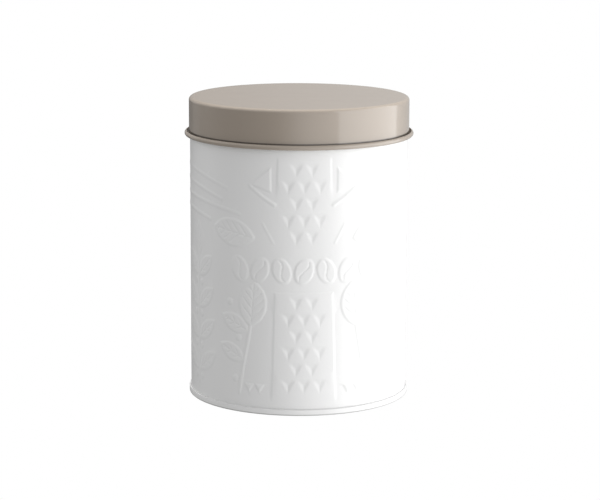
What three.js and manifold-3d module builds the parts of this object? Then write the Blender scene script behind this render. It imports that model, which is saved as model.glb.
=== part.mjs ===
// A round coffee tin with a slip-on lid, in millimetres, +Z up, standing on z = 0 with its axis on Z.
// The tin is a rolled and lock-seamed wall with a base double-seamed onto it. The lid is a drawn shell with
// an outward curl at its lower edge, and a plug pan under it that carries a finned silicone seal.
import * as THREE from "three";
import { mergeVertices } from "three/addons/utils/BufferGeometryUtils.js";
import Module from "manifold-3d";

// Driving dimensions
const SHEET = 0.25; // thickness of every sheet
const GAP = 0.05; // between sheets folded onto each other
const SEGMENTS = 48; // facets round every turned piece

const WALL_RADIUS = 54.45; // outside of the tin's wall
const RIM_TOP = 148.6; // top of the tin's inward curl
const RIM_CURL = 1.15; // outer radius of that curl's section

const SEAM_HEIGHT = 3.1; // top of the base's double seam
const HOOK_OVERLAP = 1.25; // height by which the two hooks of the seam overlap
const PANEL_HEIGHT = 3.4; // middle of the base panel's sheet
const PANEL_STEP = 0.8; // rise of the base panel's centre
const PANEL_STEP_RADIUS = 47.5;

const LID_TOP = 150;
const LID_RADIUS = 55; // outside of the lid's skirt
const LID_CORNER = 1.7; // outer radius of the lid's top edge
const LID_CURL = 1.225; // outer radius of the skirt curl's section
const LID_CURL_HEIGHT = 131.85; // middle of that curl
const LID_CURL_END = 440; // degrees round that curl where its edge is left, open towards the skirt

const PLUG_RADIUS = 48; // outside of the plug pan's wall
const PLUG_FLANGE_RADIUS = 50.5;
const PLUG_BOTTOM = 140.6; // middle of the plug's bottom sheet

const SEAL_RADIUS = 48.2; // bore of the seal, free to turn on the plug
const SEAL_WALL = 1.1;
const SEAL_BOTTOM = 142.4;
const SEAL_REACH = 51.85; // tip radius of the fins
const SEAL_PAD_REACH = 53.3; // outer radius of the pad over the tin's rim
const FIN_HEIGHTS = [144.2, 146.6]; // where each fin leaves the seal's wall

const SIDE_SEAM_WIDTH = 4; // the wall's lock seam, standing on its inside at +X
const SIDE_SEAM_DEPTH = 0.6;
const SIDE_SEAM_BOTTOM = 4.5;
const SIDE_SEAM_TOP = 145;

const rad = THREE.MathUtils.degToRad;
const half = SHEET / 2;

// Points round an arc in the (radius, height) plane, angles in degrees from outward, anticlockwise.
function arc(r, z, radius, from, to, steps) {
  return Array.from({ length: steps + 1 }, (_, i) => {
    const a = rad(from + ((to - from) * i) / steps);
    return new THREE.Vector2(r + radius * Math.cos(a), z + radius * Math.sin(a));
  });
}

const at = (r, z) => new THREE.Vector2(r, z);

// The outline of a sheet whose middle follows a path: each point moved half a sheet to both sides.
function sheetOutline(path) {
  const sides = path.map((point, i) => {
    const before = path[Math.max(i - 1, 0)];
    const after = path[Math.min(i + 1, path.length - 1)];
    const into = (i === 0 ? after.clone().sub(point) : point.clone().sub(before)).normalize();
    const out = (i === path.length - 1 ? into.clone() : after.clone().sub(point)).normalize();
    const normal = at(-into.y - out.y, into.x + out.x).normalize();
    const reach = half / normal.dot(at(-into.y, into.x));
    return [1, -1].map((side) => point.clone().addScaledVector(normal, side * reach));
  });
  return [...sides.map(([left]) => left), ...sides.map(([, right]) => right).reverse()];
}

// Turns an outline about Z. It closes on itself, unless it starts and ends on the axis.
function turned(outline) {
  const points = THREE.ShapeUtils.area(outline) > 0 ? outline : [...outline].reverse();
  if (points[0].x > 0) points.push(points[0].clone());
  return new THREE.LatheGeometry(points, SEGMENTS).rotateX(Math.PI / 2);
}

const wasm = await Module();
wasm.setup();

function solidOf(geometry) {
  const bare = geometry.clone().deleteAttribute("normal").deleteAttribute("uv");
  const merged = mergeVertices(bare, 1e-3);
  return new wasm.Manifold(
    new wasm.Mesh({
      numProp: 3,
      vertProperties: merged.attributes.position.array,
      triVerts: new Uint32Array(merged.index.array),
    }),
  );
}

function geometryOf(solid) {
  const mesh = solid.getMesh();
  return new THREE.BufferGeometry()
    .setAttribute("position", new THREE.BufferAttribute(new Float32Array(mesh.vertProperties), 3))
    .setIndex(new THREE.BufferAttribute(new Uint32Array(mesh.triVerts), 1));
}

const paint = (color, roughness, metalness) =>
  new THREE.MeshStandardMaterial({ color, roughness, metalness });
const whiteEnamel = paint(0xf2f2f0, 0.35, 0);
const taupeEnamel = paint(0xa79c90, 0.4, 0);
const tinplate = paint(0xc4c4c2, 0.35, 1);
const silicone = paint(0xe4e4e0, 0.6, 0);
const compound = paint(0x8c8c88, 0.8, 0);

function piece(name, geometry, material) {
  const mesh = new THREE.Mesh(geometry, material);
  mesh.name = name;
  return mesh;
}

// Radii of the middles of the double seam's five sheets, from the inside out.
const step = SHEET + GAP;
const WALL_MIDDLE = WALL_RADIUS - half;
const CHUCK_WALL = WALL_MIDDLE - step;
const COVER_HOOK = WALL_MIDDLE + step;
const BODY_HOOK = WALL_MIDDLE + 2 * step;
const SEAM_OUTSIDE = WALL_MIDDLE + 3 * step;
const SEAM_FOLD = step; // radius of a fold that skips one sheet
const BODY_FOLD_HEIGHT = half + step + SEAM_FOLD; // middle of the wall's own fold
const COVER_FOLD_HEIGHT = SEAM_HEIGHT - half - SEAM_FOLD; // middle of the base's upper fold
const COVER_HOOK_END = (BODY_FOLD_HEIGHT + COVER_FOLD_HEIGHT - HOOK_OVERLAP) / 2;
const BODY_HOOK_END = COVER_HOOK_END + HOOK_OVERLAP;

// The wall: hooked outward into the base seam, curled inward at the mouth, with a lock seam down its +X side.
function tinWall() {
  const curl = RIM_CURL - half;
  const path = [
    at(BODY_HOOK, BODY_HOOK_END),
    ...arc((BODY_HOOK + WALL_MIDDLE) / 2, BODY_FOLD_HEIGHT, SEAM_FOLD, 0, -180, 3),
    ...arc(WALL_MIDDLE - curl, RIM_TOP - RIM_CURL, curl, 0, 290, 8),
  ];
  const wall = solidOf(turned(sheetOutline(path)));
  const inside = WALL_RADIUS - SHEET;
  const bite = 0.05; // the lock seam's block reaches this far into the wall
  const height = SIDE_SEAM_TOP - SIDE_SEAM_BOTTOM;
  const seam = new THREE.BoxGeometry(SIDE_SEAM_DEPTH + bite, SIDE_SEAM_WIDTH, height)
    .translate(inside + (bite - SIDE_SEAM_DEPTH) / 2, 0, SIDE_SEAM_BOTTOM + height / 2);
  return geometryOf(wall.add(solidOf(seam)));
}

// The base: hooked over the wall's flange, down to the foot, up inside the wall and in to a stepped panel.
function tinBase() {
  const corner = SEAM_FOLD;
  const panelCorner = 0.5;
  return turned(
    sheetOutline([
      at(COVER_HOOK, COVER_HOOK_END),
      ...arc((COVER_HOOK + SEAM_OUTSIDE) / 2, COVER_FOLD_HEIGHT, SEAM_FOLD, 180, 0, 3),
      ...arc(SEAM_OUTSIDE - corner, half + corner, corner, 0, -90, 2),
      ...arc(CHUCK_WALL + corner, half + corner, corner, -90, -180, 2),
      ...arc(CHUCK_WALL - panelCorner, PANEL_HEIGHT - panelCorner, panelCorner, 0, 90, 2),
      at(PANEL_STEP_RADIUS, PANEL_HEIGHT),
      at(PANEL_STEP_RADIUS - PANEL_STEP, PANEL_HEIGHT + PANEL_STEP),
      at(0, PANEL_HEIGHT + PANEL_STEP),
    ]),
  );
}

// The lining compound in the pocket above the wall's hook.
function seamCompound() {
  const compoundHalf = 0.1;
  const [inner, outer] = [BODY_HOOK - compoundHalf, BODY_HOOK + compoundHalf];
  const [bottom, top] = [BODY_HOOK_END + GAP, COVER_FOLD_HEIGHT];
  return turned([at(inner, bottom), at(outer, bottom), at(outer, top), at(inner, top)]);
}

// The lid's shell: flat top, rounded edge, straight skirt and an outward curl, open to a narrow groove above it.
function lidShell() {
  const corner = LID_CORNER - half;
  const curl = LID_CURL - half;
  const skirt = LID_RADIUS - half;
  return turned(
    sheetOutline([
      at(0, LID_TOP - half),
      ...arc(LID_RADIUS - LID_CORNER, LID_TOP - LID_CORNER, corner, 90, 0, 3),
      ...arc(skirt + curl, LID_CURL_HEIGHT, curl, 180, LID_CURL_END, 8),
    ]),
  );
}

// The plug: a drawn pan fixed by its flange under the lid. A low ridge round it keeps the seal from slipping off,
// and a rib stiffens its bottom.
function lidPlug() {
  const flange = LID_TOP - SHEET - GAP - half;
  const wall = PLUG_RADIUS - half;
  const [flangeCorner, bottomCorner] = [0.5, 0.8];
  const [ridgeReach, ridgeHalf, ridgeGap] = [0.35, 0.35, 0.15];
  const ridge = SEAL_BOTTOM - ridgeGap - ridgeHalf;
  const [ribOuter, ribInner, ribRise] = [34, 31, 0.6];
  return turned(
    sheetOutline([
      at(PLUG_FLANGE_RADIUS, flange),
      ...arc(wall + flangeCorner, flange - flangeCorner, flangeCorner, 90, 180, 2),
      at(wall, ridge + ridgeHalf),
      at(wall + ridgeReach, ridge),
      at(wall, ridge - ridgeHalf),
      ...arc(wall - bottomCorner, PLUG_BOTTOM + bottomCorner, bottomCorner, 0, -90, 2).slice(1),
      at(ribOuter, PLUG_BOTTOM),
      at((ribOuter + ribInner) / 2, PLUG_BOTTOM + ribRise),
      at(ribInner, PLUG_BOTTOM),
      at(0, PLUG_BOTTOM),
    ]),
  );
}

// The seal: a sleeve round the plug, a pad over the tin's rim, and fins that brush the mouth.
function lidSeal() {
  const outside = SEAL_RADIUS + SEAL_WALL;
  const top = LID_TOP - 2 * (SHEET + GAP) - 0.1;
  const padTop = LID_TOP - SHEET - 0.15;
  const padBottom = RIM_TOP + 0.15;
  const padStart = PLUG_FLANGE_RADIUS + 0.3;
  const [rootHalf, tipHalf, tipRise] = [0.45, 0.2, 0.6];
  const fins = FIN_HEIGHTS.flatMap((z) => [
    at(outside, z - rootHalf),
    at(SEAL_REACH, z + tipRise - tipHalf),
    at(SEAL_REACH, z + tipRise + tipHalf),
    at(outside, z + rootHalf),
  ]);
  return turned([
    at(SEAL_RADIUS, SEAL_BOTTOM),
    at(outside, SEAL_BOTTOM),
    ...fins,
    at(outside, padBottom),
    at(SEAL_PAD_REACH, padBottom),
    at(SEAL_PAD_REACH, padTop),
    at(padStart, padTop),
    at(padStart, top),
    at(SEAL_RADIUS, top),
  ]);
}

const tin = new THREE.Group();
tin.add(
  piece("body_wall", tinWall(), whiteEnamel),
  piece("base_end", tinBase(), whiteEnamel),
  piece("base_seam_compound", seamCompound(), compound),
);

const lid = new THREE.Group();
lid.add(
  piece("lid_shell", lidShell(), taupeEnamel),
  piece("lid_plug", lidPlug(), tinplate),
  piece("lid_seal", lidSeal(), silicone),
);

const coffeeTin = new THREE.Group();
coffeeTin.add(tin, lid);

export default coffeeTin;
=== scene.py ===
"""A round coffee tin: an embossed white canister and a taupe slip-on lid with a curled edge.

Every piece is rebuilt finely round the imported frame. Outlines are in millimetres, as radius and height,
and the relief's places are in millimetres on the unrolled wall. Meshes, the camera and lights are in metres.
"""

import math

import bpy
import numpy as np
from mathutils import Matrix, Vector


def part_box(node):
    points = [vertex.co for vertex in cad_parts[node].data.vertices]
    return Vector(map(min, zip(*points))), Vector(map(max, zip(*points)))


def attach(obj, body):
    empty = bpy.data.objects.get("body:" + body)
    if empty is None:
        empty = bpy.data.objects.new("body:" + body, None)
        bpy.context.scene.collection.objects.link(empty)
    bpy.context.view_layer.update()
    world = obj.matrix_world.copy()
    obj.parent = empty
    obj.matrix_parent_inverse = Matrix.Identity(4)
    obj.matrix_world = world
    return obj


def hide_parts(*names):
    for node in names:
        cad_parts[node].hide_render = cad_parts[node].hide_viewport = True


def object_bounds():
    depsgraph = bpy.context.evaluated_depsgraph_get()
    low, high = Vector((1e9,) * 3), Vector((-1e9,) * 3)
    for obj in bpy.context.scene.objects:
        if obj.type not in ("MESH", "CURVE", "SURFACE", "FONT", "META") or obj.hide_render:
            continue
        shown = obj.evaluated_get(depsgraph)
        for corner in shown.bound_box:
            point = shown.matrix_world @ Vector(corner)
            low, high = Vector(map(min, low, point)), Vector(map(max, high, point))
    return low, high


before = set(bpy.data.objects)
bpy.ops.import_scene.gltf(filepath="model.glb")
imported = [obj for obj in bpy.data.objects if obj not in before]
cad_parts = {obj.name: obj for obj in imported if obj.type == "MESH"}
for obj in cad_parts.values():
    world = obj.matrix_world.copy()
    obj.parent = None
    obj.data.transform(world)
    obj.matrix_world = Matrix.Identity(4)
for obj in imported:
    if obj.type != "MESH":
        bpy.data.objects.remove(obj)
cad_low, cad_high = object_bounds()

MM = 0.001


def reach_of(node):
    """A node's outer radius, in millimetres."""
    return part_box(node)[1].x / MM


def bottom_of(node):
    """The height of a node's lowest point, in millimetres."""
    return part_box(node)[0].z / MM


def top_of(node):
    """The height of a node's highest point, in millimetres."""
    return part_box(node)[1].z / MM


# Sheet metal
SHEET = 0.25
HALF = SHEET / 2
STEP = SHEET + 0.05  # from the middle of one folded sheet to the next

# The base's double seam: radii of the middles of its five sheets, and the heights of its folds
SEAM_OUTSIDE = reach_of("base_end") - HALF
BODY_HOOK = SEAM_OUTSIDE - STEP
COVER_HOOK = SEAM_OUTSIDE - 2 * STEP
WALL_MIDDLE = SEAM_OUTSIDE - 3 * STEP
CHUCK_WALL = SEAM_OUTSIDE - 4 * STEP
SEAM_TOP = 3.1
BODY_FOLD_HEIGHT = HALF + 2 * STEP
COVER_FOLD_HEIGHT = SEAM_TOP - HALF - STEP
HOOK_OVERLAP = 1.25
COVER_HOOK_END = (BODY_FOLD_HEIGHT + COVER_FOLD_HEIGHT - HOOK_OVERLAP) / 2
BODY_HOOK_END = COVER_HOOK_END + HOOK_OVERLAP

# The canister
WALL_RADIUS = WALL_MIDDLE + HALF
RIM_TOP = top_of("body_wall")
RIM_CURL = 1.15  # outer radius of the mouth curl's section
RIM_CURL_END = 290  # degrees round that curl where its edge is left
PANEL_TOP = top_of("base_end")
PANEL_STEP = 0.8
PANEL_STEP_RADIUS = 47.5

# The lid
LID_TOP = top_of("lid_shell")
LID_CORNER = 1.7  # outer radius of the lid's top edge
LID_CURL = 1.225  # outer radius of the skirt curl's section
LID_CURL_HEIGHT = bottom_of("lid_shell") + LID_CURL
LID_CURL_END = 440  # degrees round that curl where its edge is left
LID_RADIUS = reach_of("lid_shell") - 2 * LID_CURL + SHEET
PLUG_FLANGE = reach_of("lid_plug")
PLUG_RADIUS = PLUG_FLANGE - 2.5
PLUG_BOTTOM = bottom_of("lid_plug") + HALF
PLUG_TOP = top_of("lid_plug") - HALF
SEAL_RADIUS = PLUG_RADIUS + 0.2
SEAL_OUTSIDE = SEAL_RADIUS + 1.1
SEAL_REACH = 51.85  # tip radius of the fins
SEAL_PAD_REACH = reach_of("lid_seal")
SEAL_PAD = 0.85  # thickness of the pad over the rim
SEAL_BOTTOM = bottom_of("lid_seal")
SEAL_TOP = top_of("lid_seal")

TURN_STEPS = 240  # facets round every turned piece
SHARP_ANGLE = 35  # degrees above which an edge is left sharp


# ---------------------------------------------------------------- outlines


def arc(r, z, radius, start, end, steps):
    """Points round an arc, angles in degrees from outward, anticlockwise."""
    angles = np.radians(np.linspace(start, end, steps + 1))
    return [(r + radius * math.cos(a), z + radius * math.sin(a)) for a in angles]


def sheet_sides(path):
    """The two sides of a sheet whose middle follows a path, left of the way and right of it."""
    points = np.array(path, float)
    ways = np.diff(points, axis=0)
    ways /= np.linalg.norm(ways, axis=1)[:, None]
    into = np.vstack([ways[:1], ways])
    out = np.vstack([ways, ways[-1:]])
    middle = into + out
    middle /= np.linalg.norm(middle, axis=1)[:, None]
    normal = np.column_stack([-middle[:, 1], middle[:, 0]])
    reach = HALF / (-into[:, 1] * normal[:, 0] + into[:, 0] * normal[:, 1])
    return points + normal * reach[:, None], points - normal * reach[:, None]


def pan_outline(path):
    """The outline of a sheet whose middle follows a path that ends on the axis."""
    left, right = sheet_sides(path)
    outline = [tuple(p) for p in left[-2::-1]] + [tuple(p) for p in right[:-1]]
    return [(0.0, left[-1][1]), *outline, (0.0, right[-1][1])]


# ---------------------------------------------------------------- meshes


def new_object(name, vertices, faces, materials, face_slots):
    """A smooth-shaded object from points in millimetres, with its sharp edges left sharp."""
    mesh = bpy.data.meshes.new(name)
    mesh.from_pydata((np.asarray(vertices) * MM).tolist(), [], faces)
    mesh.validate()
    for material in materials:
        mesh.materials.append(material)
    mesh.polygons.foreach_set("material_index", np.asarray(face_slots, np.int32))
    mesh.polygons.foreach_set("use_smooth", np.ones(len(mesh.polygons), bool))
    mesh.set_sharp_from_angle(angle=math.radians(SHARP_ANGLE))
    piece = bpy.data.objects.new(name, mesh)
    bpy.context.scene.collection.objects.link(piece)
    return piece


def turned(name, outline, material):
    """Turns an outline about Z: a closed one, or one that starts and ends on the axis."""
    on_axis = outline[0][0] < 1e-6
    ring = outline[1:-1] if on_axis else outline
    area = sum(a[0] * b[1] - b[0] * a[1] for a, b in zip(outline, outline[1:] + outline[:1]))
    angles = np.arange(TURN_STEPS) * 2 * math.pi / TURN_STEPS
    vertices = [(r * math.cos(a), r * math.sin(a), z) for r, z in ring for a in angles]
    around_axis = [(i, (i + 1) % TURN_STEPS) for i in range(TURN_STEPS)]
    starts = [k * TURN_STEPS for k in range(len(ring))]
    pairs = list(zip(starts, starts[1:]))
    if not on_axis:
        pairs.append((starts[-1], 0))
    faces = [(low + i, low + j, high + j, high + i) for low, high in pairs for i, j in around_axis]
    if on_axis:
        first_pole, last_pole = len(vertices), len(vertices) + 1
        vertices += [(0, 0, outline[0][1]), (0, 0, outline[-1][1])]
        faces += [(j, i, first_pole) for i, j in around_axis]
        faces += [(starts[-1] + i, starts[-1] + j, last_pole) for i, j in around_axis]
    if area < 0:
        faces = [face[::-1] for face in faces]
    return new_object(name, vertices, faces, [material], [0] * len(faces))


# ---------------------------------------------------------------- relief pressed into the wall

# Its places are a distance round the wall and a height. The distance t is from the middle of the front or of
# the back, and u is t without its sign, so what is drawn in u is the same on both sides of that middle.
RELIEF = 0.25  # height of what is raised beside the middle column
COLUMN_RELIEF = 0.2
QUARTER_RELIEF = 0.14  # height of what is raised over the quarters, between front and back
TRIANGLE_DEPTH = 0.3
EDGE = 1.4  # width of the slope round what is raised
HALF_TURN = math.pi * WALL_RADIUS
QUARTER = HALF_TURN / 2
BAND_MIDDLE = 71.6
RELIEF_BOTTOM, RELIEF_TOP = 8.0, 126.5
STEM_RADIUS = 0.75


def ramp(distance, width=EDGE):
    """1 well inside an outline, 0 well outside it, and a smooth step of that width across it."""
    x = np.clip(0.5 - distance / width, 0, 1)
    return x * x * (3 - 2 * x)


def to_segment(u, z, a, b):
    """Distance to the line between two points."""
    way = (b[0] - a[0], b[1] - a[1])
    share = np.clip(((u - a[0]) * way[0] + (z - a[1]) * way[1]) / (way[0] ** 2 + way[1] ** 2), 0, 1)
    return np.hypot(u - a[0] - share * way[0], z - a[1] - share * way[1])


def stroke(u, z, points, radius):
    """Distance to a round-ended line through the points."""
    return np.minimum.reduce([to_segment(u, z, a, b) for a, b in zip(points, points[1:])]) - radius


def polygon(u, z, corners):
    """Signed distance to a polygon, negative inside."""
    inside = np.zeros(u.shape, bool)
    pairs = list(zip(corners, corners[1:] + corners[:1]))
    for a, b in pairs:
        if a[1] != b[1]:
            crossed = u < (b[0] - a[0]) * (z - a[1]) / (b[1] - a[1]) + a[0]
            inside ^= ((a[1] > z) != (b[1] > z)) & crossed
    nearest = np.minimum.reduce([to_segment(u, z, a, b) for a, b in pairs])
    return np.where(inside, -nearest, nearest)


def dot(u, z, place, radius):
    """Signed distance to a disc, negative inside."""
    return np.hypot(u - place[0], z - place[1]) - radius


def leaf(u, z, base, tip, width, height=RELIEF):
    """A pointed leaf between two arcs, raised, with a groove down its middle and slanting veins."""
    pitch, vein, margin = 4.2, 0.6, 1.5
    way = (tip[0] - base[0], tip[1] - base[1])
    length = math.hypot(*way)
    along = ((u - base[0]) * way[0] + (z - base[1]) * way[1]) / length
    across = ((z - base[1]) * way[0] - (u - base[0]) * way[1]) / length
    radius = (length**2 + width**2) / (4 * width)
    offset = radius - width / 2
    arcs = [np.hypot(along - length / 2, across + side * offset) - radius for side in (-1, 1)]
    outline = np.maximum(*arcs)
    slanted = np.abs((along - np.abs(across) + pitch / 2) % pitch - pitch / 2) / math.sqrt(2)
    groove = np.minimum(np.abs(across), slanted) - vein / 2
    return height * (ramp(outline) - 0.7 * ramp(groove, 1.1) * ramp(outline + margin))


def bean(t, z, middle, tilt):
    """A coffee bean: a raised oval with an S-shaped crease."""
    length, width, height = 12.6, 8.8, 0.27
    crease_depth, crease_half, crease_sway, crease_margin = 0.21, 0.25, 0.28, 0.6
    s, c = math.sin(math.radians(tilt)), math.cos(math.radians(tilt))
    along = ((t - middle) * s + (z - BAND_MIDDLE) * c) / (length / 2)
    across = ((t - middle) * c - (z - BAND_MIDDLE) * s) / (width / 2)
    outline = (np.hypot(along, across) - 1) * width / 2
    crease = np.abs(across - crease_sway * np.sin(math.pi * along)) * width / 2 - crease_half
    return height * ramp(outline, 1.3) - crease_depth * ramp(crease) * ramp(outline + crease_margin, 1.0)


def band(t, z):
    """A row of beans, tilted this way and that."""
    count, pitch, tilt = 7, 10.9, 20
    places = (np.arange(count) - (count - 1) / 2) * pitch
    return np.maximum.reduce([bean(t, z, p, tilt if k % 2 else -tilt) for k, p in enumerate(places)])


def column(u, z):
    """The middle column: panels above and below the beans, and a slanting line beside the upper one."""
    above = polygon(u, z, [(-1, 140), (12.4, 140), (13.6, 103.5), (-1, 103.5)])
    below = polygon(u, z, [(-1, 60.8), (14.3, 60.8), (16.5, -20), (-1, -20)])
    fade_middle, fade = 109.5, 12.0
    line_share, line_radius = 0.6, 0.5
    shapes = (
        ramp(above) * ramp(fade_middle - z, fade),
        ramp(below),
        line_share * ramp(stroke(u, z, [(20.3, 94.4), (15.2, 85.4)], line_radius)),
    )
    return COLUMN_RELIEF * np.maximum.reduce(shapes)


def triangles(u, z):
    """Rows of small triangles pointing down, two and three in turn, pressed into the column."""
    pitch, row_pitch, half_width, height, softness = 7.6, 8.25, 3.3, 6.0, 2.4
    panels = ((121.5, 5), (56.3, 6))  # middle of the first row, and how many rows
    rows = [(first - row_pitch * k, 2 + k % 2) for first, count in panels for k in range(count)]
    sunk = np.zeros(u.shape)
    for row, in_row in rows:
        tip = row - height / 2
        for middle in (0, pitch) if in_row == 3 else (pitch / 2,):
            sides = (np.abs(u - middle) * height - half_width * (z - tip)) / math.hypot(height, half_width)
            sunk = np.maximum(sunk, ramp(sides + 0.3, softness) * ramp(z - tip - height + 1, 3.0))
    return TRIANGLE_DEPTH * sunk


def pennant(u, z):
    """Beside the column's top: a pennant and the stay that holds it."""
    flag = polygon(u, z, [(16.4, 121.8), (26.9, 113.4), (16.2, 110.0)])
    stay = stroke(u, z, [(26.9, 112.6), (20.5, 107.6), (14.5, 103.9)], 0.7)
    return RELIEF * np.maximum(ramp(flag), ramp(stay))


def sprig(u, z):
    """Beside the column's foot: a stem with three leaves and a few berries."""
    leaves = [
        leaf(u, z, (26.6, 43.5), (24.8, 66.0), 14.5),
        leaf(u, z, (27.8, 41.0), (43.5, 47.5), 8.5),
        leaf(u, z, (30.0, 26.0), (44.5, 33.0), 8.0),
    ]
    stem = stroke(u, z, [(33.0, 9.5), (31.8, 18), (30.0, 27), (28.2, 36), (26.8, 44)], STEM_RADIUS)
    berries = [dot(u, z, place, 1.5) for place in ((35.2, 16.5), (33.4, 37.2), (38.6, 54.6))]
    feet = [polygon(u, z, [(m - 2.2, 14.6), (m + 2.2, 14.6), (m, 10.8)]) for m in (22.0, 27.6)]
    raised = [RELIEF * ramp(shape) for shape in (stem, *berries, *feet)]
    return np.maximum.reduce(leaves + raised)


def arches(u, z):
    """Nested arches over the quarters, as (height at the quarter, where the arch ends, how far it drops)."""
    spans = ((117.2, 40.5, 7.0), (110.3, 44.0, 5.8), (103.4, 33.0, 5.0), (96.8, 52.5, 3.2))
    raised = []
    for top, end, drop in spans:
        share = np.clip((QUARTER - u) / (QUARTER - end), 0, 1)
        distance = np.hypot(z - top + drop * share**2, np.maximum(end - u, 0)) - STEM_RADIUS
        raised.append(ramp(distance))
    return QUARTER_RELIEF * np.maximum.reduce(raised)


def plant(u, z):
    """Under the arches: an upright stem with pairs of leaves and berries, and a leaf at its top."""
    stem_place, bottom, top, pairs, spacing = 64.0, 9.5, 76.0, 4, 16.0
    leaf_reach, leaf_rise, leaf_width, leaf_start = 15.5, 11, 7.6, 0.6
    berry_place, berry_radius = 3.2, 1.4
    stem = stroke(u, z, [(stem_place, bottom), (stem_place, top)], STEM_RADIUS)
    shapes = [QUARTER_RELIEF * ramp(stem)]
    for k in range(pairs):
        base = spacing * (k + 1)
        for side in (-1, 1):
            foot = (stem_place + side * leaf_start, base)
            tip = (stem_place + side * (leaf_reach - k), base + leaf_rise)
            berry = (stem_place + side * berry_place, base - berry_place)
            shapes.append(leaf(u, z, foot, tip, leaf_width, QUARTER_RELIEF))
            shapes.append(QUARTER_RELIEF * ramp(dot(u, z, berry, berry_radius)))
    shapes.append(leaf(u, z, (stem_place, top - 3), (stem_place, top + 15), leaf_width, QUARTER_RELIEF))
    return np.maximum.reduce(shapes)


def side_seam(round_wall):
    """Beside the lock seam the relief fades out, and a narrow groove marks its fold: (share left, groove)."""
    groove_depth, groove, margin = 0.14, 0.25, 5.0
    away = np.abs(round_wall)
    return 1 - ramp(away - margin, 2.0), -groove_depth * ramp(away - groove, 0.5)


def relief(angle, z):
    """Height of the wall's outside over its plain cylinder, at an angle in radians anticlockwise from +X."""
    round_wall = (angle * WALL_RADIUS + HALF_TURN) % (2 * HALF_TURN) - HALF_TURN
    from_front = round_wall + QUARTER
    t = (from_front + QUARTER) % HALF_TURN - QUARTER
    u = np.abs(t)
    roundel = leaf(u, z, (24.6, 87.0), (49.0, 91.0), 13.4)
    parts = [column(u, z), band(t, z), pennant(u, z), roundel, sprig(u, z), arches(u, z), plant(u, z)]
    height = np.maximum.reduce(parts) - triangles(u, z)
    clear, groove = side_seam(round_wall)
    ends = ramp(RELIEF_BOTTOM - z, 6.0) * ramp(z - RELIEF_TOP, 3.0)
    return height * ends * clear + groove


# ---------------------------------------------------------------- the wall's mesh

LATTICE = 640  # finest columns round the wall
LATTICE_STEP = 2 * math.pi * WALL_RADIUS / LATTICE
EDGE_COLUMNS = LATTICE // 4  # columns of the plain curl and hook beyond the relief
LEVELS = 3  # how often a coarse cell may halve
OUTSIDE_FLAT = 0.03  # a cell halves where the relief changes by more than this
INSIDE_FLAT = 0.15
SEAM_DEPTH = 0.6  # how far the lock seam stands on the inside
SEAM_HALF_WIDTH, SEAM_SLOPE = 2.0, 0.9
NORMAL_REACH = 0.12  # half the distance over which the surface's slope is measured


def cells_of(height, levels, flat):
    """Square cells (column, row, size) that halve wherever the height changes by more than flat."""
    corners = (height[:-1, :-1], height[1:, :-1], height[:-1, 1:], height[1:, 1:])
    pyramid = [(np.maximum.reduce(corners), np.minimum.reduce(corners))]
    for _ in range(levels):
        fours = [(m[::2, ::2], m[1::2, ::2], m[::2, 1::2], m[1::2, 1::2]) for m in pyramid[-1]]
        pyramid.append((np.maximum.reduce(fours[0]), np.minimum.reduce(fours[1])))
    present = np.ones(pyramid[-1][0].shape, bool)
    cells = []
    for level in range(levels, -1, -1):
        high, low = pyramid[level]
        split = present & (high - low > flat) if level else np.zeros(present.shape, bool)
        columns, rows = np.nonzero(present & ~split)
        size = 2**level
        cells += [(c * size, r * size, size) for c, r in zip(columns.tolist(), rows.tolist())]
        present = split.repeat(2, 0).repeat(2, 1)
    return cells


def skin(lattice, rows, bottom, surface, levels, flat, edge_pitch):
    """Vertices, normals and faces of the wall's relief between two heights, on a lattice of square cells.

    Cells with smaller neighbours become polygons that take in the neighbours' corners. The rings along the
    bottom and the top have a vertex every edge_pitch columns, and are returned as lists of vertex numbers.
    """
    angles = np.arange(lattice + 1) * 2 * math.pi / lattice
    heights = bottom + np.arange(rows + 1) * 2 * math.pi * WALL_RADIUS / lattice
    radius = surface(*np.meshgrid(angles, heights, indexing="ij"))
    cells = cells_of(radius, levels, flat)
    used = np.zeros((lattice + 1, rows + 1), bool)
    for c, r, size in cells:
        used[c : c + size + 1 : size, r : r + size + 1 : size] = True
    used[::edge_pitch, 0] = True
    used[::edge_pitch, rows] = True
    used[0] |= used[lattice]
    used[lattice] = False
    number = np.full(used.shape, -1)
    number[used] = np.arange(used.sum())
    number[lattice] = number[0]
    faces = []
    for c, r, size in cells:
        right, top = c + size, r + size
        walk = [
            *number[c:right, r],
            *number[right, r:top],
            *number[right:c:-1, top],
            *number[c, top:r:-1],
        ]
        faces.append([n for n in walk if n >= 0])
    columns_used, rows_used = np.nonzero(used)
    a, z = angles[columns_used], heights[rows_used]
    vertices = np.column_stack([radius[used] * np.cos(a), radius[used] * np.sin(a), z])
    rings = [[int(n) for n in number[:lattice:edge_pitch, row] if n >= 0] for row in (0, rows)]
    return vertices, slopes(surface, a, z), faces, rings


def slopes(surface, a, z):
    """The outward normals of the wall's surface at those angles and heights."""
    turn = NORMAL_REACH / WALL_RADIUS
    radius = surface(a, z)
    round_it = (surface(a + turn, z) - surface(a - turn, z)) / (2 * NORMAL_REACH)
    up_it = (surface(a, z + NORMAL_REACH) - surface(a, z - NORMAL_REACH)) / (2 * NORMAL_REACH)
    outward = np.column_stack([np.cos(a), np.sin(a), np.zeros(len(a))])
    sideways = np.column_stack([-np.sin(a), np.cos(a), np.zeros(len(a))])
    normals = outward - round_it[:, None] * sideways * WALL_RADIUS / radius[:, None]
    normals[:, 2] -= up_it
    return normals / np.linalg.norm(normals, axis=1)[:, None]


def wall_outside(a, z):
    """Radius of the wall's outside, with its relief."""
    return WALL_RADIUS + relief(a, z)


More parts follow.
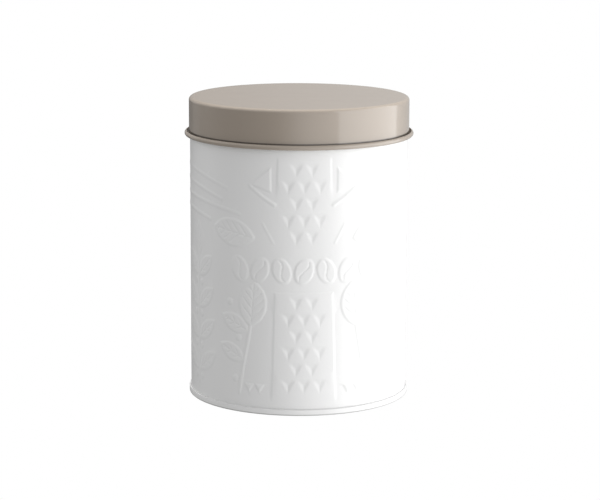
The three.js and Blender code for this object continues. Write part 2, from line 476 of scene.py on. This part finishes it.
def wall_inside(a, z):
    """The inside follows the relief, and the lock seam stands on it at +X."""
    away = np.abs((a * WALL_RADIUS + HALF_TURN) % (2 * HALF_TURN) - HALF_TURN)
    return WALL_RADIUS - SHEET + relief(a, z) - SEAM_DEPTH * ramp(away - SEAM_HALF_WIDTH, SEAM_SLOPE)


def turned_edge(path, ring_outside, ring_inside, upward, count):
    """One edge of the wall's sheet, turned about Z and joined to the rings of the relief's two skins.

    Returns its vertices, which are numbered from count, its faces, and the material slot of each face.
    """
    left, right = sheet_sides(path)
    near, far = (right, left) if upward else (left, right)
    angles = np.arange(EDGE_COLUMNS) * 2 * math.pi / EDGE_COLUMNS
    x, y, level = np.cos(angles), np.sin(angles), np.ones(EDGE_COLUMNS)
    vertices, rings = [], [ring_outside]
    for r, z in [*near, *far[::-1]]:
        vertices.append(np.column_stack([r * x, r * y, z * level]))
        rings.append(list(range(count, count + EDGE_COLUMNS)))
        count += EDGE_COLUMNS
    rings.append(ring_inside)
    faces, slots = [], []
    for k, (low, high) in enumerate(zip(rings, rings[1:])):
        for i in range(EDGE_COLUMNS):
            j = (i + 1) % EDGE_COLUMNS
            face = [low[i], low[j], high[j], high[i]]
            faces.append(face if upward else face[::-1])
            slots.append(0 if k <= len(near) else 1)
    return vertices, faces, slots


def canister_wall(coat, lining):
    """The embossed wall, hooked into the base seam and curled inward at the mouth."""
    bottom = SEAM_TOP + 0.9
    coarse = 2**LEVELS
    rows = coarse * int((RELIEF_TOP + 3 - bottom) / LATTICE_STEP / coarse + 1)
    top = bottom + rows * LATTICE_STEP
    pitch = LATTICE // EDGE_COLUMNS
    outer = skin(LATTICE, rows, bottom, wall_outside, LEVELS, OUTSIDE_FLAT, pitch)
    inner = skin(LATTICE // 2, rows // 2, bottom, wall_inside, LEVELS - 1, INSIDE_FLAT, pitch // 2)
    first_inner = len(outer[0])
    vertices = [outer[0], inner[0]]
    faces = outer[2] + [[n + first_inner for n in face[::-1]] for face in inner[2]]
    slots = [0] * len(outer[2]) + [1] * len(inner[2])
    inner_rings = [[n + first_inner for n in ring] for ring in inner[3]]

    curl = RIM_CURL - HALF
    mouth = [(WALL_MIDDLE, top + 2), *arc(WALL_MIDDLE - curl, RIM_TOP - RIM_CURL, curl, 0, RIM_CURL_END, 24)]
    hook = [
        (WALL_MIDDLE, bottom - 0.2),
        *arc((BODY_HOOK + WALL_MIDDLE) / 2, BODY_FOLD_HEIGHT, STEP, -180, 0, 10),
        (BODY_HOOK, BODY_HOOK_END),
    ]
    for path, ring, upward in ((mouth, 1, True), (hook, 0, False)):
        count = sum(len(part) for part in vertices)
        edge = turned_edge(path, outer[3][ring], inner_rings[ring], upward, count)
        vertices += edge[0]
        faces += edge[1]
        slots += edge[2]
    wall = new_object("canister_wall", np.vstack(vertices), faces, [coat, lining], slots)
    set_normals(wall, np.vstack([outer[1], -inner[1]]))
    return wall


def set_normals(piece, first):
    """Gives the first vertices these normals, and keeps the rest as shaded."""
    mesh = piece.data
    corner_vertex = np.zeros(len(mesh.loops), np.int32)
    mesh.loops.foreach_get("vertex_index", corner_vertex)
    corners = np.zeros(len(mesh.loops) * 3, np.float32)
    mesh.corner_normals.foreach_get("vector", corners)
    corners = corners.reshape(-1, 3)
    known = corner_vertex < len(first)
    corners[known] = first[corner_vertex[known]]
    mesh.normals_split_custom_set(corners.tolist())


# ---------------------------------------------------------------- the other pieces


def base_end(coat):
    """The base: hooked over the wall, down to the foot, up inside the wall and in to a stepped panel."""
    corner, panel_corner = STEP, 0.5
    panel = PANEL_TOP - HALF
    outer_panel = panel - PANEL_STEP
    step_width = 0.9
    path = [
        (COVER_HOOK, COVER_HOOK_END),
        *arc((COVER_HOOK + SEAM_OUTSIDE) / 2, COVER_FOLD_HEIGHT, STEP, 180, 0, 12),
        *arc(SEAM_OUTSIDE - corner, HALF + corner, corner, 0, -90, 6),
        *arc(CHUCK_WALL + corner, HALF + corner, corner, -90, -180, 6),
        *arc(CHUCK_WALL - panel_corner, outer_panel - panel_corner, panel_corner, 0, 90, 8),
        *[
            (PANEL_STEP_RADIUS - step_width * x, outer_panel + PANEL_STEP * (3 * x**2 - 2 * x**3))
            for x in np.linspace(0, 1, 8)
        ],
        *[(r, panel) for r in (30, 12, 0)],
    ]
    return turned("base_panel", pan_outline(path), coat)


def seam_compound(material):
    """The lining in the pocket of the double seam, over the wall's hook."""
    half_width, clearance = 0.1, 0.05
    low, high = BODY_HOOK_END + clearance, COVER_FOLD_HEIGHT
    inner, outer = BODY_HOOK - half_width, BODY_HOOK + half_width
    return turned("seam_lining", [(inner, low), (outer, low), (outer, high), (inner, high)], material)


def lid_shell(coat):
    """The lid: a flat top, a rounded edge and a straight skirt that ends in an outward curl."""
    corner, curl, skirt = LID_CORNER - HALF, LID_CURL - HALF, LID_RADIUS - HALF
    path = [
        *[(r, LID_TOP - HALF) for r in (0, 20, 40, 51)],
        *arc(LID_RADIUS - LID_CORNER, LID_TOP - LID_CORNER, corner, 90, 0, 12),
        (skirt, LID_CURL_HEIGHT + 10),
        *arc(skirt + curl, LID_CURL_HEIGHT, curl, 180, LID_CURL_END, 30),
    ]
    return turned("lid_cover", pan_outline(path[::-1]), coat)


def lid_plug(metal):
    """The plug pan: a flange under the lid, a wall with a ridge that holds the seal, and a ribbed bottom."""
    wall = PLUG_RADIUS - HALF
    flange_corner, bottom_corner = 0.5, 0.8
    ridge_reach, ridge_half, ridge_gap = 0.35, 0.35, 0.15
    ridge = SEAL_BOTTOM - ridge_gap - ridge_half
    rib_outer, rib_inner, rib_rise = 34, 31, 0.6
    path = [
        (PLUG_FLANGE, PLUG_TOP),
        *arc(wall + flange_corner, PLUG_TOP - flange_corner, flange_corner, 90, 180, 8),
        *[
            (wall + ridge_reach * math.cos(math.pi * x / 2) ** 2, ridge - ridge_half * x)
            for x in np.linspace(-1, 1, 9)
        ],
        *arc(wall - bottom_corner, PLUG_BOTTOM + bottom_corner, bottom_corner, 0, -90, 8)[1:],
        *[
            (rib_outer + (rib_inner - rib_outer) * x, PLUG_BOTTOM + rib_rise * math.sin(math.pi * x) ** 2)
            for x in np.linspace(0, 1, 13)
        ],
        *[(r, PLUG_BOTTOM) for r in (12, 0)],
    ]
    return turned("lid_plug_pan", pan_outline(path), metal)


def lid_seal(silicone):
    """The seal: a sleeve round the plug, a pad over the tin's rim, and fins in the mouth."""
    rounding = 0.3
    pad_bottom = SEAL_TOP - SEAL_PAD
    inner_top = SEAL_TOP - 0.3
    pad_start = PLUG_FLANGE + 0.3
    root_half, tip_half, tip_rise = 0.45, 0.2, 0.6
    fin_rises = (1.8, 4.2)
    fins = []
    for height in (SEAL_BOTTOM + rise for rise in fin_rises):
        fins += [(SEAL_OUTSIDE, height - root_half), (SEAL_REACH - tip_half, height + tip_rise - tip_half)]
        fins += arc(SEAL_REACH - tip_half, height + tip_rise, tip_half, -90, 90, 6)
        fins += [(SEAL_OUTSIDE, height + root_half)]
    outline = [
        (SEAL_RADIUS, SEAL_BOTTOM),
        *arc(SEAL_OUTSIDE - rounding, SEAL_BOTTOM + rounding, rounding, -90, 0, 4),
        *fins,
        (SEAL_OUTSIDE, pad_bottom),
        *arc(SEAL_PAD_REACH - rounding, pad_bottom + rounding, rounding, -90, 0, 4),
        *arc(SEAL_PAD_REACH - rounding, SEAL_TOP - rounding, rounding, 0, 90, 4),
        (pad_start, SEAL_TOP),
        (pad_start, inner_top),
        (SEAL_RADIUS, inner_top),
    ]
    return turned("lid_seal_ring", outline, silicone)


# ---------------------------------------------------------------- materials


class Shader:
    """A Principled material and short ways to wire procedural nodes into it."""

    def __init__(self, name):
        self.material = bpy.data.materials.new(name)
        self.material.use_nodes = True
        self.tree = self.material.node_tree
        self.surface = self.tree.nodes["Principled BSDF"]
        self.place = self.tree.nodes.new("ShaderNodeTexCoord").outputs["Object"]

    def set(self, **values):
        for name, value in values.items():
            self.surface.inputs[name.replace("_", " ")].default_value = value

    def noise(self, scale, detail, stretch=(1, 1, 1)):
        """Noise that stays with the object, finer with a larger scale."""
        mapping = self.tree.nodes.new("ShaderNodeMapping")
        mapping.inputs["Scale"].default_value = stretch
        self.tree.links.new(self.place, mapping.inputs["Vector"])
        noise = self.tree.nodes.new("ShaderNodeTexNoise")
        noise.inputs["Scale"].default_value = scale
        noise.inputs["Detail"].default_value = detail
        self.tree.links.new(mapping.outputs["Vector"], noise.inputs["Vector"])
        return noise.outputs["Fac"]

    def spread(self, source, low, high, start=0.3, end=0.7):
        """A number from low to high as the source goes from start to end."""
        node = self.tree.nodes.new("ShaderNodeMapRange")
        for name, value in (("From Min", start), ("From Max", end), ("To Min", low), ("To Max", high)):
            node.inputs[name].default_value = value
        self.tree.links.new(source, node.inputs["Value"])
        return node.outputs["Result"]

    def colours(self, source, first, second):
        """Base colour from the first to the second as the source goes from 0 to 1."""
        node = self.tree.nodes.new("ShaderNodeMix")
        node.data_type = "RGBA"
        node.inputs["A"].default_value = (*first, 1)
        node.inputs["B"].default_value = (*second, 1)
        self.tree.links.new(source, node.inputs["Factor"])
        self.tree.links.new(node.outputs["Result"], self.surface.inputs["Base Color"])

    def parts_of_place(self):
        """The height in the object, and the distance from its axis."""
        parts = self.tree.nodes.new("ShaderNodeSeparateXYZ")
        self.tree.links.new(self.place, parts.inputs["Vector"])
        squares = [self.combine("MULTIPLY", parts.outputs[axis], parts.outputs[axis]) for axis in ("X", "Y")]
        square = self.combine("ADD", *squares)
        return {"Z": parts.outputs["Z"], "radius": self.combine("SQRT", square)}

    def combine(self, operation, *sources):
        """The result of one math operation on the sources."""
        node = self.tree.nodes.new("ShaderNodeMath")
        node.operation = operation
        for source, target in zip(sources, node.inputs):
            self.tree.links.new(source, target)
        return node.outputs["Value"]

    def paint_shade(self, share, shade):
        """Mixes painted shade, a darker colour, into the base colour, by the share."""
        node = self.tree.nodes.new("ShaderNodeMix")
        node.data_type = "RGBA"
        node.inputs["B"].default_value = (*shade, 1)
        self.tree.links.new(share, node.inputs["Factor"])
        self.tree.links.new(self.surface.inputs["Base Color"].links[0].from_socket, node.inputs["A"])
        self.tree.links.new(node.outputs["Result"], self.surface.inputs["Base Color"])

    def roughness(self, source):
        self.tree.links.new(source, self.surface.inputs["Roughness"])

    def bump(self, source, depth, strength):
        """Tilts the surface as if the source were a height of that depth, in metres."""
        node = self.tree.nodes.new("ShaderNodeBump")
        node.inputs["Strength"].default_value = strength
        node.inputs["Distance"].default_value = depth
        self.tree.links.new(source, node.inputs["Height"])
        self.tree.links.new(node.outputs["Normal"], self.surface.inputs["Normal"])


def enamel(name, colour, variation, roughness, gloss, gloss_blur):
    """Stove enamel: satin, with a faint orange peel and slight clouds, under more or less clear gloss."""
    shader = Shader(name)
    lighter = [min(c * (1 + variation), 1) for c in colour]
    darker = [c * (1 - variation) for c in colour]
    shader.colours(shader.spread(shader.noise(22, 3), 0, 1), darker, lighter)
    shader.roughness(shader.spread(shader.noise(60, 3), roughness - 0.03, roughness + 0.03))
    shader.bump(shader.noise(520, 2.5), 0.00006, 0.35)
    shader.set(IOR=1.5, Coat_Weight=gloss, Coat_Roughness=gloss_blur, Coat_IOR=1.6)
    return shader


def paint_base_shade(shader):
    """Paints shade into the base seam's enamel: darker in the crease along its top, and a painted contact
    shadow round the edge it stands on.
    """
    crease_share, foot_share, shade = 0.2, 0.6, (0.09, 0.09, 0.08)
    height = shader.parts_of_place()["Z"]
    crease_shade = shader.spread(height, 0, crease_share, (SEAM_TOP - 0.5) * MM, SEAM_TOP * MM)
    foot_shadow = shader.spread(height, foot_share, 0, 0.3 * MM, 0.8 * MM)
    shader.paint_shade(shader.combine("MAXIMUM", crease_shade, foot_shadow), shade)


def paint_groove_shade(shader):
    """Paints shade into the lid's enamel in the groove between its skirt and its curl."""
    share, shade = 0.75, (0.03, 0.025, 0.02)
    place = shader.parts_of_place()
    curl_top = LID_CURL_HEIGHT + LID_CURL
    fade_up = shader.spread(place["Z"], share, 0, (curl_top + 0.35) * MM, (curl_top + 0.75) * MM)
    fade_out = shader.spread(place["radius"], 1, 0, (LID_RADIUS + 0.1) * MM, (LID_RADIUS + 0.3) * MM)
    fade_down = shader.spread(place["Z"], 0, 1, (bottom_of("lid_shell") + 1) * MM, (curl_top - 0.5) * MM)
    groove = shader.combine("MULTIPLY", shader.combine("MULTIPLY", fade_up, fade_out), fade_down)
    shader.paint_shade(groove, shade)


def tinplate(name, colour, roughness):
    """Bright tinplate under clear lacquer: rolling streaks in its gloss, and a faint mottle."""
    shader = Shader(name)
    streaks = shader.noise(300, 3, stretch=(1, 1, 0.03))
    shader.colours(shader.spread(shader.noise(90, 2), 0, 1), [c * 0.94 for c in colour], colour)
    shader.roughness(shader.spread(streaks, roughness - 0.05, roughness + 0.06))
    shader.bump(streaks, 0.00002, 0.3)
    shader.set(Metallic=1.0)
    return shader.material


def soft_rubber(name, colour, roughness):
    """Moulded silicone: matt, with a fine grain and slight clouds."""
    shader = Shader(name)
    shader.colours(shader.spread(shader.noise(80, 2), 0, 1), [c * 0.95 for c in colour], colour)
    shader.roughness(shader.spread(shader.noise(400, 2), roughness - 0.05, roughness + 0.05))
    shader.bump(shader.noise(1500, 2), 0.00003, 0.4)
    shader.set(IOR=1.41)
    return shader.material


# ---------------------------------------------------------------- camera, floor and light

FRONT_TURN = -2.8  # degrees from the tin's front to the camera, about Z
CAMERA_DISTANCE = 1.1329
CAMERA_HEIGHT = 0.2908
CAMERA_ASIDE = 0.00065
CAMERA_PITCH = 10.945  # degrees below level
CAMERA_ROLL = 0.183
LENS = 137.15

# Radiance of the soft lights, and of the room in each direction, where 1 is the floor's white
PANEL_RADIANCE = 1.34
RIM_RADIANCE = 0.1
LEFT_FILL = 1.75
TOP_FILL = 21.0
LEFT_GLOW = 0.25
RIGHT_GLOW = 1.07
OVERHEAD_GLOW = 0.72
BEHIND_LEFT_GLOW = 0.29
BEHIND_RIGHT_GLOW = 0.45
LOW_BEHIND_LEFT_GLOW = 0.15
LOW_BEHIND_RIGHT_GLOW = 0.5


def around(azimuth, distance, height):
    """A place round the tin, at an angle from the camera's own side, anticlockwise from above."""
    angle = math.radians(azimuth + FRONT_TURN)
    return Vector((distance * math.sin(angle), -distance * math.cos(angle), height))


def add_camera():
    """A long lens, a little above the tin and slightly turned from its front."""
    data = bpy.data.cameras.new("camera")
    data.lens = LENS
    data.sensor_width = 36
    data.clip_start, data.clip_end = 0.05, 50
    camera = bpy.data.objects.new("camera", data)
    bpy.context.scene.collection.objects.link(camera)
    turn = Matrix.Rotation(math.radians(FRONT_TURN), 4, "Z")
    place = Matrix.Translation((CAMERA_ASIDE, -CAMERA_DISTANCE, CAMERA_HEIGHT))
    pitch = Matrix.Rotation(math.radians(90 - CAMERA_PITCH), 4, "X")
    roll = Matrix.Rotation(math.radians(CAMERA_ROLL), 4, "Z")
    camera.matrix_world = turn @ place @ pitch @ roll
    bpy.context.scene.camera = camera


def soft_box(name, azimuth, elevation, distance, size, radiance, reflected=True):
    """A soft light aimed at the middle of the tin. One that isn't reflected only lightens the shadows."""
    data = bpy.data.lights.new(name, "AREA")
    data.shape = "RECTANGLE"
    data.size, data.size_y = size
    data.energy = radiance * math.pi * size[0] * size[1]
    light = bpy.data.objects.new(name, data)
    middle = Vector((0, 0, (cad_low.z + cad_high.z) / 2))
    rise = math.radians(elevation)
    light.location = middle + around(azimuth, distance * math.cos(rise), distance * math.sin(rise))
    light.rotation_euler = (middle - light.location).to_track_quat("-Z", "Y").to_euler()
    light.visible_camera = False
    light.visible_glossy = reflected
    bpy.context.scene.collection.objects.link(light)


def add_floor():
    """A plain white floor, bright enough to show no shadow."""
    half = 12.0
    corners = [(-half, -half, 0), (half, -half, 0), (half, half, 0), (-half, half, 0)]
    mesh = bpy.data.meshes.new("floor")
    mesh.from_pydata(corners, [], [(0, 1, 2, 3)])
    material = bpy.data.materials.new("floor")
    material.use_nodes = True
    tree = material.node_tree
    glow = tree.nodes.new("ShaderNodeEmission")
    glow.inputs["Strength"].default_value = 1.0
    tree.links.new(glow.outputs["Emission"], tree.nodes["Material Output"].inputs["Surface"])
    mesh.materials.append(material)
    floor = bpy.data.objects.new("floor", mesh)
    bpy.context.scene.collection.objects.link(floor)
    floor.visible_diffuse = False
    floor.visible_glossy = False
    floor.visible_shadow = False


def add_world():
    """Dim light from all round: stronger on the right than on the left, and darkest low behind the tin."""
    world = bpy.data.worlds.new("world")
    world.use_nodes = True
    bpy.context.scene.world = world
    tree = world.node_tree
    direction = tree.nodes.new("ShaderNodeTexCoord").outputs["Generated"]

    def towards(way):
        node = tree.nodes.new("ShaderNodeVectorMath")
        node.operation = "DOT_PRODUCT"
        node.inputs[1].default_value = way
        tree.links.new(direction, node.inputs[0])
        return node.outputs["Value"]

    def blend(source, start, end, low, high):
        node = tree.nodes.new("ShaderNodeMapRange")
        node.interpolation_type = "SMOOTHSTEP"
        node.inputs["From Min"].default_value = start
        node.inputs["From Max"].default_value = end
        for name, value in (("To Min", low), ("To Max", high)):
            if isinstance(value, float):
                node.inputs[name].default_value = value
            else:
                tree.links.new(value, node.inputs[name])
        tree.links.new(source, node.inputs["Value"])
        return node.outputs["Result"]

    right = towards(around(90, 1, 0))
    behind = towards(around(180, 1, 0))
    up = towards((0, 0, 1))
    sides = blend(right, -0.45, 0.25, LEFT_GLOW, RIGHT_GLOW)
    overhead = blend(up, 0.0, 0.8, sides, OVERHEAD_GLOW)
    far = blend(right, -0.08, 0.08, BEHIND_LEFT_GLOW, BEHIND_RIGHT_GLOW)
    low_far = blend(right, -0.08, 0.08, LOW_BEHIND_LEFT_GLOW, LOW_BEHIND_RIGHT_GLOW)
    low = blend(behind, 0.35, 0.85, sides, low_far)
    high = blend(behind, 0.3, 0.7, overhead, far)
    strength = blend(up, -0.02, 0.02, low, high)
    tree.links.new(strength, tree.nodes["Background"].inputs["Strength"])
    tree.nodes["Background"].inputs["Color"].default_value = (1, 1, 1, 1)


# ---------------------------------------------------------------- the tin

WHITE = (0.815, 0.815, 0.813)
TAUPE = (0.333, 0.281, 0.231)
WHITE_ENAMEL = {"colour": WHITE, "variation": 0.01, "roughness": 0.4, "gloss": 0.45, "gloss_blur": 0.3}
TAUPE_ENAMEL = {"colour": TAUPE, "variation": 0.015, "roughness": 0.45, "gloss": 1.0, "gloss_blur": 0.12}
white = enamel("white_enamel", **WHITE_ENAMEL)
# base_white is the white enamel with painted shade in the seam's crease and a painted contact shadow round
# its foot.
base_white = enamel("base_enamel", **WHITE_ENAMEL)
paint_base_shade(base_white)
taupe = enamel("taupe_enamel", **TAUPE_ENAMEL)
# The taupe enamel gets painted shade in the groove between the skirt and its curl.
paint_groove_shade(taupe)
lining = tinplate("tin_lining", (0.74, 0.73, 0.70), 0.32)
plug_metal = tinplate("plug_tinplate", (0.76, 0.75, 0.73), 0.28)
silicone = soft_rubber("seal_silicone", (0.72, 0.72, 0.7), 0.55)
compound = soft_rubber("seam_compound", (0.3, 0.3, 0.28), 0.8)

PIECES = (
    (canister_wall(white.material, lining), "canister", "body_wall", "white_enamel"),
    (base_end(base_white.material), "canister", "base_end", "base_enamel"),
    (seam_compound(compound), "canister", "base_seam_compound", "seam_compound"),
    (lid_shell(taupe.material), "lid", "lid_shell", "taupe_enamel"),
    (lid_plug(plug_metal), "lid", "lid_plug", "plug_tinplate"),
    (lid_seal(silicone), "seal", "lid_seal", "seal_silicone"),
)
for piece, body, node, slot in PIECES:
    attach(piece, body)
    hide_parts(node)

add_camera()
add_floor()
add_world()
soft_box("side_panel", 80, 5, 1.0, (1.66, 1.5), PANEL_RADIANCE)
soft_box("rim_strip", -134, 0, 1.5, (0.5, 1.4), RIM_RADIANCE)
soft_box("left_fill", -112, 10, 1.0, (0.8, 0.8), LEFT_FILL, reflected=False)
soft_box("top_fill", 180, 72, 2.0, (0.9, 0.9), TOP_FILL, reflected=False)
bpy.context.scene.view_settings.view_transform = "Standard"
